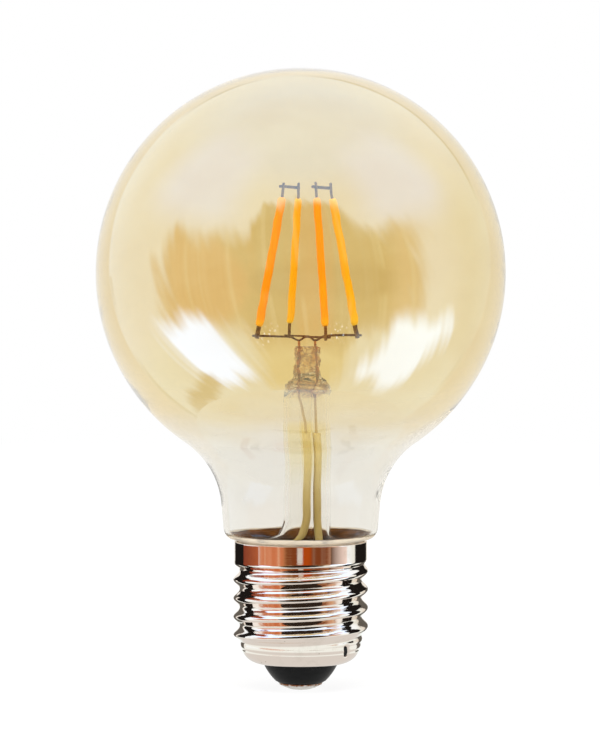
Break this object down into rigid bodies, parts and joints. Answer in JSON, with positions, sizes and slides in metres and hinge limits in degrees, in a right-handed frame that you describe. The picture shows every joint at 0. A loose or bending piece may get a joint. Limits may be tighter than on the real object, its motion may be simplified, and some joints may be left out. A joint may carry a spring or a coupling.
{
  "type": "globe light bulb",
  "caption": "Amber glass globe lamp with upright filament rods on a stem and a nickel screw cap, for a standard screw lampholder.",
  "frame": {"origin": "middle of the centre contact's flat land, at the tip of the screw cap", "axes": "+Z along the lamp's axis from the cap's tip to the globe's crown; the picture looks along +Y, with +X to the right"},
  "size_m": [0.08, 0.08, 0.1215],
  "materials": {
    "amber_glass": "clear blown glass with an amber coat on the globe",
    "clear_glass": "clear drawn glass",
    "orange_phosphor": "orange phosphor in silicone",
    "yellow_phosphor": "yellow phosphor in silicone",
    "nickel_wire": "drawn nickel wire",
    "tab_metal": "stamped strip, slightly heat-tinted",
    "copper_lead": "copper-clad lead wire",
    "sleeve": "woven insulating sleeve",
    "nickel_shell": "bright nickel plate",
    "cement": "baked basing cement",
    "black_insulator": "opaque black glass",
    "tinned_contact": "tinned and dressed with solder",
    "board": "white solder mask on glass-fibre board",
    "package": "moulded black epoxy",
    "capacitor_can": "aluminium can in a thin sleeve",
    "resistor": "flame-proof paint",
    "tinned_wire": "tinned copper wire",
    "solder": "bright solder"
  },
  "bodies": {
    "root": {"glass_globe": "amber_glass", "glass_stem": "clear_glass", "exhaust_tube": "clear_glass", "filament_left": "orange_phosphor", "filament_front": "orange_phosphor", "filament_right": "yellow_phosphor", "filament_rear": "yellow_phosphor", "screw_shell": "nickel_shell", "basing_cement": "cement", "cap_insulator": "black_insulator", "centre_contact": "tinned_contact", "driver_board": "board", "driver_chip": "package", "bridge_rectifier": "package", "smoothing_capacitor": "capacitor_can", "fusible_resistor": "resistor", "live_wire": "tinned_wire", "neutral_wire": "tinned_wire", "neutral_solder": "solder", "lead_wire_front": "copper_lead", "lead_sleeve_front": "sleeve", "cross_wire_front": "nickel_wire", "lead_wire_rear": "copper_lead", "lead_sleeve_rear": "sleeve", "cross_wire_rear": "nickel_wire", "link_wire_left": "nickel_wire", "link_wire_right": "nickel_wire", "foot_tab_left": "tab_metal", "head_tab_left": "tab_metal", "foot_tab_front": "tab_metal", "head_tab_front": "tab_metal", "foot_tab_right": "tab_metal", "head_tab_right": "tab_metal", "foot_tab_rear": "tab_metal", "head_tab_rear": "tab_metal"}
  },
  "joints": []
}
